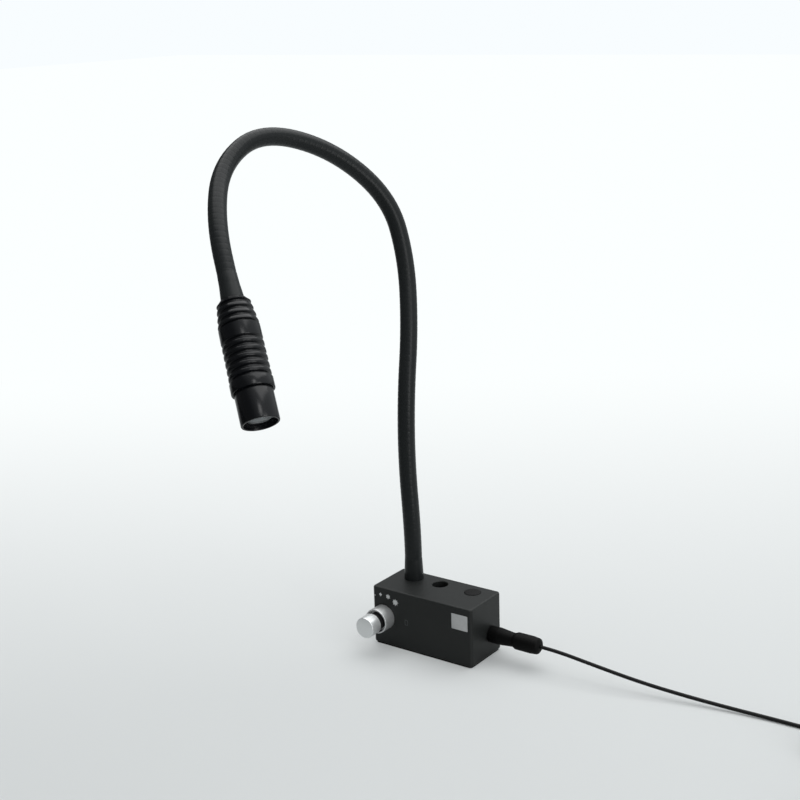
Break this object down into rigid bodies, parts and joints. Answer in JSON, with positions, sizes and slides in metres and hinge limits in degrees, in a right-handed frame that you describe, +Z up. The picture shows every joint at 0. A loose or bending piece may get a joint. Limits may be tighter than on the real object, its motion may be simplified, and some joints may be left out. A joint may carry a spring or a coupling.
{
  "type": "fiber optic illuminator",
  "caption": "Small weighted lamp box with a brightness knob, a bendable neck that carries a light guide, and a ribbed aiming head with a sliding lens barrel.",
  "frame": {"origin": "centre of the box's footprint, on the surface that the box stands on", "axes": "+Z up, -Y out of the face with the knob, +X towards the power lead"},
  "size_m": [0.3474, 0.1679, 0.2844],
  "materials": {
    "black_coat": "fine matt black powder coat",
    "plated_steel": "plated steel",
    "foot_rubber": "matt rubber",
    "black_screws": "black oxide screws",
    "board_green": "solder-masked board",
    "board_parts": "moulded components",
    "plain_aluminium": "plain machined aluminium",
    "black_metal": "black anodised",
    "lamp_white": "white lamp board",
    "lamp_phosphor": "lamp phosphor",
    "clear_glass": "clear glass",
    "case_plastic": "moulded black plastic",
    "shaft_steel": "turned steel",
    "collar_silver": "satin turned collar",
    "knob_aluminium": "satin turned aluminium",
    "contact_metal": "plated contact metal",
    "plug_plastic": "moulded black plug",
    "lead_jacket": "smooth black jacket",
    "head_anodised": "satin black anodised",
    "boot_rubber": "shrunk black boot",
    "core_steel": "wound steel",
    "sleeve_black": "satin black sleeve",
    "guide_fibre": "clear fibre bundle"
  },
  "bodies": {
    "root": {"housing": "black_coat", "base_plate": "plated_steel", "foot_pad": "foot_rubber", "base_screws": "black_screws", "ballast_block": "plated_steel", "circuit_board": "board_green", "board_components": "board_parts", "port_block": "plain_aluminium", "port_screw": "black_screws", "lamp_board": "lamp_white", "heat_spreader": "plain_aluminium", "lamp_emitter": "lamp_phosphor", "lamp_lens": "clear_glass", "spare_port_tube": "black_metal", "port_cap": "foot_rubber", "dimmer": "case_plastic", "knob_collar": "collar_silver", "power_jack": "case_plastic", "plug_barrel": "contact_metal", "plug_shell": "plug_plastic", "plug_grip": "plug_plastic", "power_cord": "lead_jacket", "cord_coil": "lead_jacket", "cord_tail": "lead_jacket", "connector_body": "case_plastic", "connector_shell": "contact_metal", "neck_stem": "black_metal", "base_boot": "boot_rubber", "neck_core_base": "core_steel", "neck_sleeve_base": "sleeve_black", "light_guide_base": "guide_fibre", "neck_bend_1_core": "core_steel", "neck_bend_1_sleeve": "sleeve_black"},
    "dimmer_knob": {"dimmer_shaft": "shaft_steel", "knob_hub": "case_plastic", "knob_cap": "knob_aluminium"},
    "neck_lower": {"neck_core_lower": "core_steel", "neck_sleeve_lower": "sleeve_black", "light_guide_lower": "guide_fibre", "neck_bend_2_core": "core_steel", "neck_bend_2_sleeve": "sleeve_black"},
    "neck_upper": {"neck_core_upper": "core_steel", "neck_sleeve_upper": "sleeve_black", "light_guide_upper": "guide_fibre", "neck_bend_3_core": "core_steel", "neck_bend_3_sleeve": "sleeve_black"},
    "neck_arch": {"neck_core_arch": "core_steel", "neck_sleeve_arch": "sleeve_black", "light_guide_arch": "guide_fibre", "neck_bend_4_core": "core_steel", "neck_bend_4_sleeve": "sleeve_black"},
    "head": {"neck_core_head": "core_steel", "neck_sleeve_head": "sleeve_black", "light_guide_head": "guide_fibre", "head_boot": "boot_rubber", "head_body": "head_anodised"},
    "focus_barrel": {"front_barrel": "head_anodised", "front_lens": "clear_glass", "lens_retainer": "black_metal"}
  },
  "joints": [
    {"name": "knob_turn", "type": "hinge", "parent": "root", "child": "dimmer_knob", "pos_m": [-0.0249, -0.03, 0.0172], "axis": [0, -1, 0], "range_deg": [-150, 150]},
    {"name": "neck_base_bend", "type": "hinge", "parent": "root", "child": "neck_lower", "pos_m": [-0.01942, 0.00647, 0.06246], "axis": [0.9642, -0.2651, 0], "range_deg": [-25, 25], "deforming": ["neck_bend_1_core", "neck_bend_1_sleeve"]},
    {"name": "neck_column_bend", "type": "hinge", "parent": "neck_lower", "child": "neck_upper", "pos_m": [-0.03054, 0.02452, 0.17239], "axis": [-0.2651, -0.9642, 0], "range_deg": [-30, 30], "deforming": ["neck_bend_2_core", "neck_bend_2_sleeve"]},
    {"name": "neck_arch_bend", "type": "hinge", "parent": "neck_upper", "child": "neck_arch", "pos_m": [-0.06746, 0.00878, 0.2682], "axis": [0.8965, -0.3571, 0.2624], "range_deg": [-50, 20], "deforming": ["neck_bend_3_core", "neck_bend_3_sleeve"]},
    {"name": "neck_head_bend", "type": "hinge", "parent": "neck_arch", "child": "head", "pos_m": [-0.06781, -0.082, 0.24257], "axis": [0.864, 0.1821, 0.4693], "range_deg": [-35, 35], "deforming": ["neck_bend_4_core", "neck_bend_4_sleeve"]},
    {"name": "focus_slide", "type": "slide", "parent": "head", "child": "focus_barrel", "axis": [0.5033, -0.3315, -0.798], "range_m": [-0.004, 0.003]}
  ]
}
